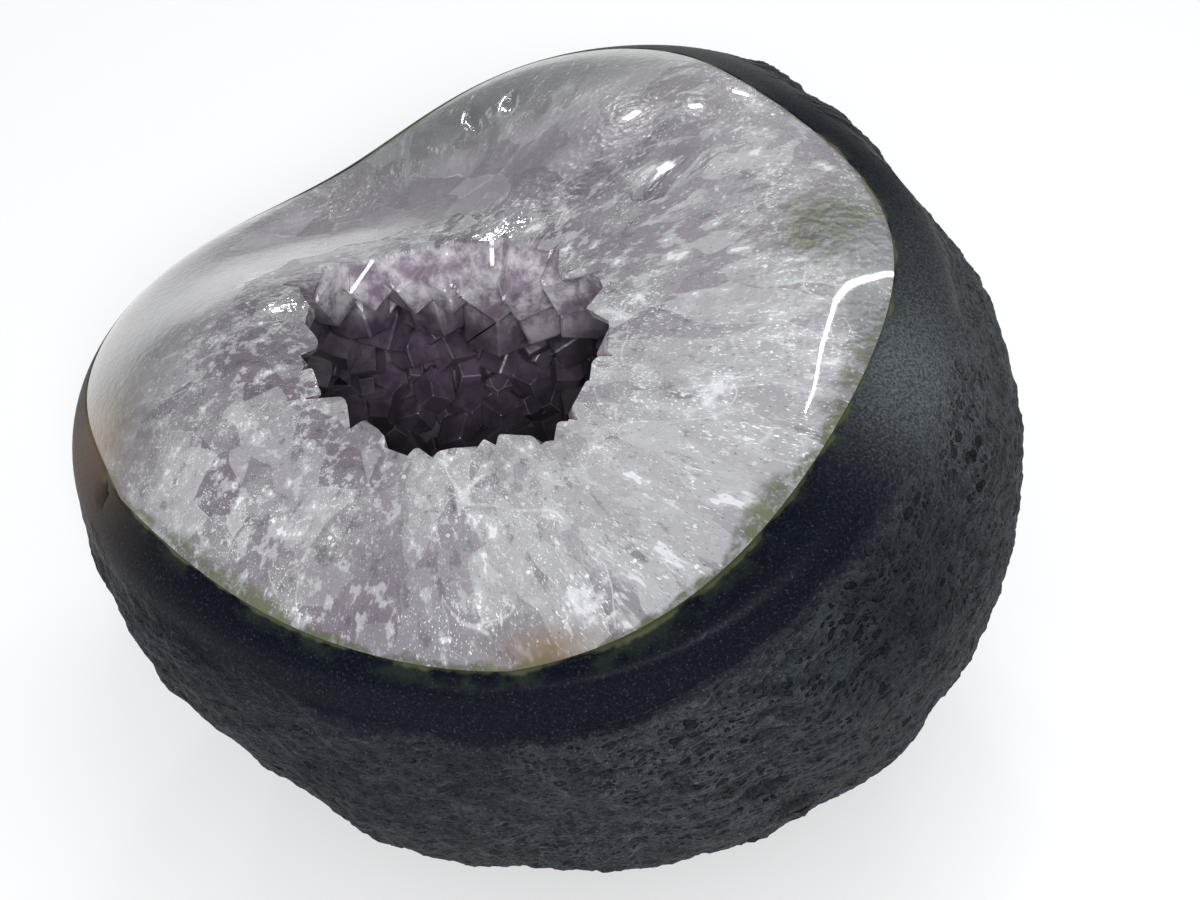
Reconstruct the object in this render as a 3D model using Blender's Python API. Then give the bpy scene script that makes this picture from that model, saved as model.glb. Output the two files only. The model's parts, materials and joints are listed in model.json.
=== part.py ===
"""A geode half: a dark basalt rind around pale quartz, with a hollow lined with amethyst crystals.

The stone stands on a small flat ground on its underside. Its top was ground away and polished to a
gently waved face that leans to the left and rounds over into the rind. The polish opened the hollow.
"""
import math
import random

import bmesh
import bpy
import numpy as np
from mathutils import Matrix, Vector, noise

MM = 0.001

# The stone's middle above the centre of its base, and its rough outside before it was ground
MIDDLE = Vector((4.14, -6.67, 52.0)) * MM
STONE_RADII = np.array([71, 75, 60]) * MM
# Swells and flats of the rough outside: azimuth, elevation and spread in degrees, height in mm
STONE_SWELLS = [
    (90, 0, 35, 10),
    (168, 12, 30, 14),
    (130, 15, 28, -7),
    (270, 0, 35, -7),
    (275, -45, 40, 5),
    (202, -8, 24, 5),
    (325, -30, 22, 2.5),
    (35, 12, 25, -1.5),
    (0, -5, 20, 2),
    (350, -22, 22, 2.5),
    (62, 12, 16, 3.5),
    (225, -40, 20, 3.5),
]
LUMP_HEIGHT = 1.6 * MM
LUMPS_ACROSS_STONE = 4.5

# The polished face: height over the stone's middle, lean, and how wide its edge rounds into the rind
FACE_HEIGHT = 35 * MM
FACE_LEAN_LEFT = math.radians(13)
FACE_LEAN_FRONT = math.radians(2)
FACE_DOME_RADIUS = 400 * MM
FACE_EDGE_ROUNDING = 14 * MM
# Rises and dips of the polished face: place across and up the face, spread and height in mm
FACE_WAVES = [
    (35, 35, 30, 6),
    (-30, 38, 30, -7),
    (-45, -12, 30, 11),
    (5, -50, 32, -10),
]
# The ground band of bare basalt below the quartz, as an angle seen from the middle
GROUND_BAND = math.radians(8.5)

# The rind's thickness, with the places where it is thinner, and the rock left above the base
RIND = 6.0 * MM
THINNEST_RIND = 2.0 * MM
ROCK_OVER_BASE = 10.0 * MM
RIND_THINNINGS = [
    (15, 15, 45, 5.0),
    (235, 15, 38, 6.5),
    (130, 25, 48, 5.5),
    (35, 12, 25, -2.5),
    (62, 12, 16, -3.5),
]

# The hollow: its middle across, up and below the polished face, and its radii along the face's axes
HOLLOW_PLACE = np.array([-18, -8]) * MM
HOLLOW_DEPTH = 20 * MM
HOLLOW_RADII = np.array([43, 32, 32]) * MM
HOLLOW_SWELLS = [
    (60, -10, 35, 3),
    (160, -20, 30, -2),
    (250, -25, 35, 2),
    (330, -15, 30, -2),
]
LINING = 2.4 * MM
JOINT_GAP = 0.3 * MM

# Crystals of the lining: how many at most, their widths and how far their shanks stand out of it
CRYSTALS = 84
CRYSTAL_WIDTHS = (8.5 * MM, 14.5 * MM)
CRYSTAL_SHANKS = (-0.05, 0.28)
CRYSTAL_ROOT = 6.0 * MM
CRYSTAL_LEAN = math.radians(17)
CRYSTAL_SPACING = 0.8
CRYSTAL_TRIES = 5000
THREE_FACED = 0.8
# The large points that hang over the far side: turn about the face's normal and lean from it in degrees,
# width and shank in mm, then how far the point is turned towards the mouth in degrees
LARGE_POINTS = [
    (186, 64, 12.0, 3.0, 4),
    (168, 58, 13.0, 4.0, 4),
    (148, 56, 13.0, 4.0, 4),
    (131, 55, 14.0, 4.5, -4),
    (114, 54, 12.0, 6.0, 4),
    (99, 56, 14.5, 6.0, -4),
    (82, 55, 12.0, 8.0, -6),
    (66, 58, 15.0, 9.0, -8),
    (48, 58, 14.0, 9.0, -4),
    (32, 62, 13.0, 7.0, 0),
    (16, 62, 11.0, 4.0, 4),
    (140, 76, 13.0, 4.0, 0),
    (120, 78, 13.0, 4.0, 0),
    (92, 76, 13.0, 8.0, -4),
    (58, 69, 12.0, 4.0, 0),
    (72, 80, 14.0, 12.0, -6),
    (54, 78, 14.0, 12.0, -4),
    (38, 82, 13.0, 10.0, 0),
    (20, 86, 12.0, 6.0, 0),
    (160, 84, 12.0, 3.0, 0),
]
RHOMB_SLOPE = math.radians(51.8)

# Pits: azimuth, elevation, length, width and depth in mm, and turn from level in degrees
LARGE_PITS = [
    (292, -7, 9.0, 4.0, 2.4, 20),
    (298, -14, 8.5, 4.6, 2.6, 12),
    (274, 2, 6.0, 2.4, 1.2, 5),
    (200, 9, 3.4, 3.0, 2.4, 0),
]
SMALL_PITS = 14
SMALL_PIT_LENGTHS = (2.2 * MM, 4.2 * MM)
FACE_PITS = [
    (42, 65, 10.0, 6.5, 3.4, 60),
    (110, 25, 5.0, 3.0, 2.0, 80),
    (103, 28, 4.0, 3.0, 1.6, 30),
]

# How finely the forms are divided: around, rings above their edge on the polished face and below it
STONE_DIVISIONS = (60, 6, 12)
NODULE_DIVISIONS = (40, 3, 6)
HOLLOW_DIVISIONS = (32, 3, 5)
EDGE_STRIP = math.radians(0.5)


def toward(azimuth, elevation):
    """Unit vector at an azimuth from +X and an elevation, both in degrees."""
    around, up = math.radians(azimuth), math.radians(elevation)
    return np.array([math.cos(around) * math.cos(up), math.sin(around) * math.cos(up), math.sin(up)])


def unit(vectors):
    return vectors / np.linalg.norm(vectors, axis=-1, keepdims=True)


def swells(directions, table):
    """Sum of round swells on a ball, in metres, for rows of azimuth, elevation, spread and height."""
    total = np.zeros(len(directions))
    for azimuth, elevation, spread, height in table:
        cosine = np.clip(directions @ toward(azimuth, elevation), -1, 1)
        angle = np.degrees(np.arccos(cosine))
        total += height * MM * np.exp(-((angle / spread) ** 2))
    return total


def ellipsoid(directions, radii, power=2.0):
    return (np.abs(directions / radii) ** power).sum(1) ** (-1 / power)


def rounded_least(first, second, rounding):
    """The smaller of two radii, with a rounded change from one to the other."""
    share = np.clip(0.5 + 0.5 * (second - first) / rounding, 0, 1)
    return second + (first - second) * share - rounding * share * (1 - share)


def face_axes():
    """Across, up and normal of the polished face's mean plane."""
    normal = unit(np.array([-math.tan(FACE_LEAN_LEFT), -math.tan(FACE_LEAN_FRONT), 1.0]))
    across = unit(np.array([normal[2], 0.0, -normal[0]]))
    return across, np.cross(normal, across), normal


def face_rise(across, up):
    """How far the polished face stands over its mean plane at a place on it."""
    rise = -(across**2 + up**2) / (2 * FACE_DOME_RADIUS)
    for place_across, place_up, spread, height in FACE_WAVES:
        square = (across - place_across * MM) ** 2 + (up - place_up * MM) ** 2
        rise = rise + height * MM * np.exp(-square / (spread * MM) ** 2)
    return rise


def face_radius(directions):
    """Where rays from the middle meet the polished face, found by repeated closer guesses."""
    across, up, normal = face_axes()
    along = directions @ normal
    steep = np.maximum(along, 0.05)
    radius = FACE_HEIGHT / steep
    for _ in range(12):
        rise = face_rise(radius * (directions @ across), radius * (directions @ up))
        radius = 0.5 * radius + 0.5 * np.clip((FACE_HEIGHT + rise) / steep, MM, 0.4)
    return np.where(along > 0.05, radius, 0.4)


def rough_radius(directions):
    return ellipsoid(directions, STONE_RADII) + swells(directions, STONE_SWELLS)


def smooth_stone_radius(directions):
    """The ground stone without its small lumps."""
    return rounded_least(rough_radius(directions), face_radius(directions), FACE_EDGE_ROUNDING)


def nodule_radius(directions):
    """The contact between quartz and basalt, inside the rind and clear of the base."""
    thickness = np.maximum(RIND - swells(directions, RIND_THINNINGS), THINNEST_RIND)
    to_floor = (MIDDLE.z - ROCK_OVER_BASE) / np.maximum(-directions[:, 2], 0.05)
    return rounded_least(rough_radius(directions) - thickness, to_floor, 10 * MM)


def roughness_at(directions):
    """1 on the natural outside, 0 on the ground band and the polished face."""
    normal = face_axes()[2]
    raised = unit(directions + math.tan(GROUND_BAND) * normal)
    cover = smooth_stone_radius(raised) - nodule_radius(raised)
    return np.clip(cover / (2 * MM), 0, 1)


def stone_radius(directions):
    lumps = np.array([noise.noise(Vector(row) * LUMPS_ACROSS_STONE) for row in directions])
    return smooth_stone_radius(directions) + LUMP_HEIGHT * lumps * roughness_at(directions)


def above_contact(directions):
    return nodule_radius(directions) > smooth_stone_radius(directions)


def hollow_middle():
    across, up, normal = face_axes()
    return across * HOLLOW_PLACE[0] + up * HOLLOW_PLACE[1] + normal * (FACE_HEIGHT - HOLLOW_DEPTH)


def hollow_radius(directions):
    """The hollow's wall in the quartz, seen from the hollow's own middle."""
    local = np.stack([directions @ axis for axis in face_axes()], 1)
    return ellipsoid(local, HOLLOW_RADII, 2.2) + swells(local, HOLLOW_SWELLS)


def above_mouth(directions):
    places = hollow_middle() + directions * hollow_radius(directions)[:, None]
    return np.linalg.norm(places, axis=1) > smooth_stone_radius(unit(places))


def face_directions(turns, leans):
    """Directions at a turn about the polished face's normal and a lean away from it."""
    across, up, normal = face_axes()
    level = np.outer(np.cos(turns), across) + np.outer(np.sin(turns), up)
    return level * np.sin(leans)[:, None] + normal * np.cos(leans)[:, None]


def edge_leans(turns, above):
    """The lean at which a form meets the polished face, found by halving."""
    low = np.full(len(turns), math.radians(8))
    high = np.full(len(turns), math.radians(125))
    for _ in range(24):
        middle = (low + high) / 2
        still_above = above(face_directions(turns, middle))
        low = np.where(still_above, middle, low)
        high = np.where(still_above, high, middle)
    return low


def ringed_ball(divisions, above):
    """A ball with its pole on the face's normal, two of its rings slid to lie beside the form's edge."""
    around, rings_above, rings_below = divisions
    rings = rings_above + 1 + rings_below
    ball = bmesh.new()
    bmesh.ops.create_uvsphere(ball, u_segments=around, v_segments=rings, radius=1)
    places = np.array([vertex.co[:] for vertex in ball.verts])
    turns = np.arctan2(places[:, 1], places[:, 0])
    ring = np.arccos(np.clip(places[:, 2], -1, 1)) / math.pi * rings
    edge = edge_leans(turns, above)
    upper = ring / rings_above * (edge - EDGE_STRIP)
    lower = math.pi - (rings - ring) / rings_below * (math.pi - edge - EDGE_STRIP)
    leans = np.where(ring < rings_above + 0.5, upper, lower)
    return ball, face_directions(turns, leans)


def add_object(name, mesh_data, colour=None, roughness=0.5, helper=False):
    """Turns a bmesh into an object about the stone's middle, in the model's or the cutters' collection."""
    bmesh.ops.recalc_face_normals(mesh_data, faces=mesh_data.faces)
    mesh = bpy.data.meshes.new(name)
    mesh_data.to_mesh(mesh)
    mesh_data.free()
    item = bpy.data.objects.new(name, mesh)
    item.location = MIDDLE
    bpy.data.collections["cutters" if helper else "geode_half"].objects.link(item)
    item.hide_render = helper
    item.display_type = "WIRE" if helper else "TEXTURED"
    if colour:
        mesh.materials.append(plain_material(name, colour, roughness))
    return item


def plain_material(name, colour, roughness):
    material = bpy.data.materials.new(name)
    material.use_nodes = True
    surface = material.node_tree.nodes["Principled BSDF"]
    surface.inputs["Base Color"].default_value = (*colour, 1)
    surface.inputs["Roughness"].default_value = roughness
    surface.inputs["Metallic"].default_value = 0
    return material


def radial_form(name, divisions, above, radius_of, centre=(0, 0, 0), **looks):
    """A closed form whose radius about a centre is a function of direction."""
    ball, directions = ringed_ball(divisions, above)
    places = np.array(centre) + directions * radius_of(directions)[:, None]
    for vertex, place in zip(ball.verts, places):
        vertex.co = place
    bmesh.ops.triangulate(ball, faces=ball.faces[:], quad_method="FIXED")
    return add_object(name, ball, **looks)


def quartz_limit_radius(directions):
    return nodule_radius(directions) - JOINT_GAP


def hollow_form(name, inset, **looks):
    """The hollow as a solid, a little smaller all round than its wall in the quartz."""
    def inset_radius(directions):
        return hollow_radius(directions) - inset

    return radial_form(name, HOLLOW_DIVISIONS, above_mouth, inset_radius, hollow_middle(), **looks)


def boolean(item, operation, cutter, own_overlaps=False):
    modifier = item.modifiers.new(f"{operation.lower()} {cutter.name}", "BOOLEAN")
    modifier.operation = operation
    modifier.object = cutter
    modifier.solver = "EXACT"
    modifier.use_self = own_overlaps


def stone_place(direction):
    """The point of the smooth stone in one direction from its middle."""
    return Vector(direction * smooth_stone_radius(direction[None, :])[0])


def add_pit(bm, azimuth, elevation, length, width, depth, turn):
    """One oval hole sunk into the stone, its long axis turned from level; sizes in metres."""
    direction = toward(azimuth, elevation)
    level = Vector((-direction[1], direction[0], 0)).normalized()
    outward = Vector(direction)
    steep = outward.cross(level)
    place = stone_place(direction) + outward * 0.15 * depth
    frame = Matrix((level, steep, outward)).transposed().to_4x4()
    oval = Matrix.Diagonal((length / 2, width / 2, depth * 1.15, 1))
    matrix = Matrix.Translation(place) @ frame @ Matrix.Rotation(math.radians(turn), 4, "Z") @ oval
    bmesh.ops.create_icosphere(bm, subdivisions=1, radius=1, matrix=matrix)


def add_pits(name, rows):
    pits = bmesh.new()
    for azimuth, elevation, length, width, depth, turn in rows:
        add_pit(pits, azimuth, elevation, length * MM, width * MM, depth * MM, turn)
    return add_object(name, pits, helper=True)


def small_pit_rows(seed=11):
    """Random pits on the natural outside, apart from each other and from the large ones."""
    chance = random.Random(seed)
    rows = []
    taken = [toward(row[0], row[1]) for row in LARGE_PITS]
    while len(rows) < SMALL_PITS:
        azimuth, elevation = chance.uniform(180, 400), chance.uniform(-32, 30)
        direction = toward(azimuth, elevation)
        length = chance.uniform(*SMALL_PIT_LENGTHS) / MM
        near = min(float(np.linalg.norm(direction - other)) for other in taken)
        if near < 0.14 or roughness_at(direction[None, :])[0] < 1:
            continue
        taken.append(direction)
        rows.append((azimuth, elevation, length, 0.6 * length, 0.35 * length, chance.uniform(5, 35)))
    return rows


def crystal_mesh(width, shank, chance):
    """A six-sided quartz point along +Z from its root, with three broad end faces and often three narrow."""
    apothem = width / 2 * math.cos(math.pi / 6)
    tip = shank + apothem * math.tan(RHOMB_SLOPE)
    crystal = bmesh.new()
    long_prism = 1.6 * tip + CRYSTAL_ROOT
    middle = Matrix.Translation((0, 0, long_prism / 2 - CRYSTAL_ROOT))
    bmesh.ops.create_cone(
        crystal, cap_ends=True, segments=6, radius1=width / 2, radius2=width / 2, depth=long_prism, matrix=middle
    )
    for side in range(0, 6, 2 if chance.random() < THREE_FACED else 1):
        azimuth = math.pi / 6 + side * math.pi / 3
        normal = Vector((
            math.cos(azimuth) * math.sin(RHOMB_SLOPE),
            math.sin(azimuth) * math.sin(RHOMB_SLOPE),
            math.cos(RHOMB_SLOPE),
        ))
        deeper = chance.uniform(0.0, 0.16) if side % 2 == 0 else chance.uniform(-0.22, -0.05)
        place = Vector((0, 0, tip - deeper * width))
        cut = bmesh.ops.bisect_plane(
            crystal,
            geom=crystal.verts[:] + crystal.edges[:] + crystal.faces[:],
            plane_co=place,
            plane_no=normal,
            clear_outer=True,
        )
        rim = [item for item in cut["geom_cut"] if isinstance(item, bmesh.types.BMEdge)]
        if rim:
            bmesh.ops.holes_fill(crystal, edges=rim)
    return crystal


def wall_normal(direction):
    """Inward normal of the hollow's wall in one direction from the hollow's middle."""
    step = 1e-3
    point = direction * hollow_radius(direction[None, :])[0]
    slopes = []
    for axis in np.eye(3):
        moved = point + axis * step
        distance = np.linalg.norm(moved)
        slopes.append(distance - hollow_radius((moved / distance)[None, :])[0])
    return -unit(np.array(slopes))


def large_places():
    """Places and directions of the hand-placed large points, with their widths, shanks and tilts."""
    rows = []
    for turn, lean, width, shank, tilt in LARGE_POINTS:
        direction = face_directions(np.array([math.radians(turn)]), np.array([math.radians(lean)]))
        place = hollow_middle() + direction[0] * (hollow_radius(direction)[0] - LINING)
        rows.append((place, direction[0], width * MM, shank * MM, math.radians(tilt)))
    return rows


def crystal_places(seed=5):
    """Spread places on the hollow's wall below the polished face, after those of the large points."""
    chance = random.Random(seed)
    middle = hollow_middle()
    found = large_places()
    for attempt in range(CRYSTAL_TRIES):
        direction = unit(np.array([chance.gauss(0, 1) for _ in range(3)]))
        width = CRYSTAL_WIDTHS[1] + (CRYSTAL_WIDTHS[0] - CRYSTAL_WIDTHS[1]) * math.sqrt(attempt / CRYSTAL_TRIES)
        place = middle + direction * (hollow_radius(direction[None, :])[0] - LINING)
        outward = unit(place)
        if np.linalg.norm(place) > smooth_stone_radius(outward[None, :])[0] + 1.5 * MM:
            continue
        apart = [np.linalg.norm(place - row[0]) / (width + row[2]) for row in found]
        if len(found) < CRYSTALS and min(apart) > CRYSTAL_SPACING / 2:
            shank = chance.uniform(*CRYSTAL_SHANKS) * width
            found.append((place, direction, width, shank, None))
    return found


def add_crystals(seed=8):
    """All the hollow's points as one helper, each grown out of the lining towards the open space."""
    chance = random.Random(seed)
    points = bmesh.new()
    face_normal = Vector(face_axes()[2])
    for place, direction, width, shank, tilt in crystal_places():
        crystal = crystal_mesh(width, shank, chance)
        inward = Vector(wall_normal(direction))
        upright = inward.to_track_quat("Z", "Y").to_matrix().to_4x4()
        turned = Matrix.Rotation(chance.uniform(0, math.pi / 3), 4, "Z")
        if tilt is None:
            leaning = Matrix.Rotation(chance.uniform(0, CRYSTAL_LEAN), 4, "X")
            around = Matrix.Rotation(chance.uniform(0, 2 * math.pi), 4, "Z")
            pose = upright @ around @ leaning @ turned
        else:
            pose = Matrix.Rotation(tilt, 4, inward.cross(face_normal)) @ upright @ turned
        crystal.transform(Matrix.Translation(place) @ pose)
        loose = bpy.data.meshes.new("crystal")
        crystal.to_mesh(loose)
        crystal.free()
        points.from_mesh(loose)
        bpy.data.meshes.remove(loose)
    return add_object("crystal_points", points, helper=True)


def add_base_cutter():
    """A block under the stone whose top grinds the base flat."""
    block = bmesh.new()
    size = 200 * MM
    bmesh.ops.create_cube(block, size=size, matrix=Matrix.Translation((0, 0, -MIDDLE.z - size / 2)))
    return add_object("base_cutter", block, helper=True)


def add_rind(stone_looks):
    rind = radial_form("basalt_rind", STONE_DIVISIONS, above_contact, stone_radius, **stone_looks)
    nodule = radial_form("nodule_cutter", NODULE_DIVISIONS, above_contact, nodule_radius, helper=True)
    boolean(rind, "DIFFERENCE", nodule)
    boolean(rind, "DIFFERENCE", add_pits("large_pits", LARGE_PITS))
    boolean(rind, "DIFFERENCE", add_pits("small_pits", small_pit_rows()))
    boolean(rind, "DIFFERENCE", add_base_cutter())
    return rind


def add_quartz(quartz_looks):
    band = radial_form("quartz_band", STONE_DIVISIONS, above_contact, stone_radius, **quartz_looks)
    inner = radial_form("quartz_limit", NODULE_DIVISIONS, above_contact, quartz_limit_radius, helper=True)
    hollow = hollow_form("hollow_cutter", 0, helper=True)
    boolean(band, "INTERSECT", inner)
    boolean(band, "DIFFERENCE", hollow)
    boolean(band, "DIFFERENCE", add_pits("face_pits", FACE_PITS))
    return band


def add_crust(crust_looks):
    """The lining and its points: the hollow less the open space, which the points dent."""
    crust = hollow_form("crystal_crust", JOINT_GAP, **crust_looks)
    space = hollow_form("open_space", LINING, helper=True)
    limit = radial_form("crust_limit", STONE_DIVISIONS, above_contact, stone_radius, helper=True)
    boolean(space, "DIFFERENCE", add_crystals(), own_overlaps=True)
    boolean(crust, "DIFFERENCE", space)
    boolean(crust, "INTERSECT", limit)
    return crust


def clear_scene():
    for item in list(bpy.data.objects):
        bpy.data.objects.remove(item, do_unlink=True)
    for name in ("geode_half", "cutters"):
        group = bpy.data.collections.new(name)
        bpy.context.scene.collection.children.link(group)


def main():
    clear_scene()
    rind = add_rind(dict(colour=(0.045, 0.05, 0.06), roughness=0.75))
    band = add_quartz(dict(colour=(0.62, 0.58, 0.66), roughness=0.15))
    crust = add_crust(dict(colour=(0.42, 0.33, 0.47), roughness=0.1))
    rind.data.shade_smooth()
    rind.data.set_sharp_from_angle(angle=math.radians(35))
    band.data.shade_smooth()
    band.data.set_sharp_from_angle(angle=math.radians(35))
    crust.data.shade_flat()


main()
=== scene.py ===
"""Looks of a geode half: a pitted basalt rind around polished quartz, and a hollow full of amethyst points.

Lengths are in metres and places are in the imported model's frame. The stone's form is the same function
of direction as in the model's own source, so the finer skins here lie on the model's solids.
"""
import json
import math
import random

import bmesh
import bpy
import numpy as np
from mathutils import Matrix, Vector, noise

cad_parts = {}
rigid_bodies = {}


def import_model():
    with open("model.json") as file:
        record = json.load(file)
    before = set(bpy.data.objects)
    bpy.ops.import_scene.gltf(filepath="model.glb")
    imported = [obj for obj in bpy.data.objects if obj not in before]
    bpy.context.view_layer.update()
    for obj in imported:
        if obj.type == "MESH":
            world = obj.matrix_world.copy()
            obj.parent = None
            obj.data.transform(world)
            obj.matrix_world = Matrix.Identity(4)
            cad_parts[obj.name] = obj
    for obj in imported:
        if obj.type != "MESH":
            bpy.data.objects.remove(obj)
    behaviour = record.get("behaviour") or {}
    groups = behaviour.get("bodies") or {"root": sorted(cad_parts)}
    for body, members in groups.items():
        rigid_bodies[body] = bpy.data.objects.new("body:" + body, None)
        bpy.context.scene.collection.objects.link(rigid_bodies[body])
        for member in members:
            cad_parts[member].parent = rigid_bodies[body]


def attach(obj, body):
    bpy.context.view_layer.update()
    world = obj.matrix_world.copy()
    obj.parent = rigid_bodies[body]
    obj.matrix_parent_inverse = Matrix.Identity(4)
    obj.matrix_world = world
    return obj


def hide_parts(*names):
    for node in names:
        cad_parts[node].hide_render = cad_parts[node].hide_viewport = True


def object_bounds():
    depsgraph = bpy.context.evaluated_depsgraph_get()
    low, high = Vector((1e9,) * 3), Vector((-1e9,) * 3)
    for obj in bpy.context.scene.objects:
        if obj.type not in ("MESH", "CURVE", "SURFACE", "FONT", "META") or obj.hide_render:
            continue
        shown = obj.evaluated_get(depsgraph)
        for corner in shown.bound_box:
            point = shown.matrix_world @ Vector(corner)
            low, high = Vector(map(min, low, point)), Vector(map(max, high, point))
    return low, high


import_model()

MM = 0.001

# The photograph's view, worked out from the object's outline in it
CAMERA_TARGET = Vector((8.14, 0.33, 40.0)) * MM
CAMERA_ELEVATION = math.radians(45)
CAMERA_DISTANCE = 290 * MM
CAMERA_LENS = 50

# The stone's form
MIDDLE = Vector((4.14, -6.67, 52.0)) * MM
STONE_RADII = np.array([71, 75, 60]) * MM
# Swells and flats of the rough outside: azimuth, elevation and spread in degrees, height in mm
STONE_SWELLS = [
    (90, 0, 35, 10),
    (168, 12, 30, 14),
    (130, 15, 28, -7),
    (270, 0, 35, -7),
    (275, -45, 40, 5),
    (202, -8, 24, 5),
    (325, -30, 22, 2.5),
    (35, 12, 25, -1.5),
    (0, -5, 20, 2),
    (350, -22, 22, 2.5),
    (62, 12, 16, 3.5),
    (225, -40, 20, 3.5),
]
LUMP_HEIGHT = 1.6 * MM
LUMPS_ACROSS_STONE = 4.5

# The polished face: height over the stone's middle, lean, and how wide its edge rounds into the rind
FACE_HEIGHT = 35 * MM
FACE_LEAN_LEFT = math.radians(13)
FACE_LEAN_FRONT = math.radians(2)
FACE_DOME_RADIUS = 400 * MM
FACE_EDGE_ROUNDING = 14 * MM
# Rises and dips of the polished face: place across and up the face, spread and height in mm
FACE_WAVES = [
    (35, 35, 30, 6),
    (-30, 38, 30, -7),
    (-45, -12, 30, 11),
    (5, -50, 32, -10),
]
GROUND_BAND = math.radians(8.5)

# The contact between quartz and basalt
RIND = 6.0 * MM
THINNEST_RIND = 2.0 * MM
ROCK_OVER_BASE = 10.0 * MM
RIND_THINNINGS = [
    (15, 15, 45, 5.0),
    (235, 15, 38, 6.5),
    (130, 25, 48, 5.5),
    (35, 12, 25, -2.5),
    (62, 12, 16, -3.5),
]
CONTACT_GAP = 0.3 * MM

# The hollow
HOLLOW_PLACE = np.array([-18, -8]) * MM
HOLLOW_DEPTH = 20 * MM
HOLLOW_RADII = np.array([43, 32, 32]) * MM
HOLLOW_SWELLS = [
    (60, -10, 35, 3),
    (160, -20, 30, -2),
    (250, -25, 35, 2),
    (330, -15, 30, -2),
]
LINING = 2.4 * MM
# The lining is thicker just under the mouth's edge, so that gaps between its crystals stay shallow there
RIM_THICKNESS = 1.8 * MM
RIM_REACH = 7.0 * MM
# The jagged border inside the quartz where the milky part ends and the clear points begin
BORDER_JAGS = 2.2 * MM
BORDER_JAG_WIDTH = 6.0 * MM
CRUST_OVERLAP = 2.0 * MM
CRUST_UNDER_FACE = 0.03 * MM

# The hollow's points
CRYSTALS = 560
CRYSTAL_WIDTHS = (4.2 * MM, 11.0 * MM)
CRYSTAL_SHANKS = (0.0, 0.5)
CRYSTAL_ROOT = 5.0 * MM
CRYSTAL_LEAN = math.radians(20)
CRYSTAL_SPACING = 0.6
CRYSTAL_TRIES = 14000
# How far a crystal's edges are broken, as a share of its width
CRYSTAL_BEVEL = 0.026
# Faces narrower than this count as a crystal's broken edge
EDGE_BREADTH = 0.55 * MM
# Faces whose corners all lie this close to the open space's wall are bare lining
LINING_TOLERANCE = 0.05 * MM
# Crystals whose roots lie up to this far over the polished face are cut off flush with it
CRYSTALS_OVER_FACE = 2.0 * MM
# The large points that hang over the far side: turn about the face's normal and lean from it in degrees,
# width and shank in mm, then how far the point is turned towards the mouth in degrees
LARGE_POINTS = [
    (186, 64, 12.0, 3.0, 4),
    (168, 58, 13.0, 4.0, 4),
    (148, 56, 13.0, 4.0, 4),
    (131, 55, 14.0, 4.5, -4),
    (114, 54, 12.0, 6.0, 4),
    (99, 56, 14.5, 6.0, -4),
    (82, 55, 12.0, 8.0, -6),
    (66, 58, 15.0, 9.0, -8),
    (48, 58, 14.0, 9.0, -4),
    (32, 62, 13.0, 7.0, 0),
    (16, 62, 11.0, 4.0, 4),
    (140, 76, 13.0, 4.0, 0),
    (120, 78, 13.0, 4.0, 0),
    (92, 76, 13.0, 8.0, -4),
    (58, 69, 12.0, 4.0, 0),
    (72, 80, 14.0, 12.0, -6),
    (54, 78, 14.0, 12.0, -4),
    (38, 82, 13.0, 10.0, 0),
    (20, 86, 12.0, 6.0, 0),
    (160, 84, 12.0, 3.0, 0),
]
# How far the normals of a quartz point's end faces lean from its long axis
RHOMB_SLOPE = math.radians(51.8)

# Pits that the model has too: azimuth, elevation, length, width and depth in mm, turn from level in degrees
LARGE_PITS = [
    (292, -7, 9.0, 4.0, 2.4, 20),
    (298, -14, 8.5, 4.6, 2.6, 12),
    (274, 2, 6.0, 2.4, 1.2, 5),
    (200, 9, 3.4, 3.0, 2.4, 0),
]
SMALL_PITS = 14
SMALL_PIT_LENGTHS = (2.2 * MM, 4.2 * MM)
FACE_PITS = [
    (42, 65, 10.0, 6.5, 3.4, 60),
    (110, 25, 5.0, 3.0, 2.0, 80),
    (103, 28, 4.0, 3.0, 1.6, 30),
]
# Finer pits that only this skin has
FINE_PITS = 420
FINE_PIT_LENGTHS = (1.4 * MM, 3.2 * MM)

# The rind's rows of pores: how they rise to the right, and the radius that they are measured round
PORE_SLANT = math.radians(18)
PORE_ROW_RADIUS = 70 * MM

# Colours of the basalt
BLUE_GREY = (0.031, 0.039, 0.046)
VIOLET_GREY = (0.037, 0.034, 0.046)
DARK_MOTTLE = (0.013, 0.015, 0.02)
PALE_GRAIN = (0.05, 0.06, 0.067)
PALE_SPECK = (0.13, 0.145, 0.155)
GROUND_BLACK = (0.002, 0.003, 0.0065)
GROUND_BLUE = (0.005, 0.0075, 0.013)
GROUND_SPECK = (0.05, 0.06, 0.065)
# Painted sheen: a light grey laid over the rind's right side where light glances off it
PAINTED_SHEEN_GREY = (0.14, 0.158, 0.168)
GREENISH_BLACK = (0.026, 0.036, 0.024)
BROWN_STAIN = (0.15, 0.105, 0.075)
OLIVE_EDGE = (0.11, 0.12, 0.06)
# Painted shade in the grooves of the rind's wrinkles, and a painted highlight on their ridges
VALLEY_SHADE = (0.008, 0.009, 0.012)
RIDGE_HIGHLIGHT = (0.085, 0.098, 0.106)
SHADY_BLACK = (0.009, 0.011, 0.018)
# Painted shade inside the rind's pores and pits
PORE_SHADE = (0.005, 0.006, 0.008)
BASALT_IOR = 1.14

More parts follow.
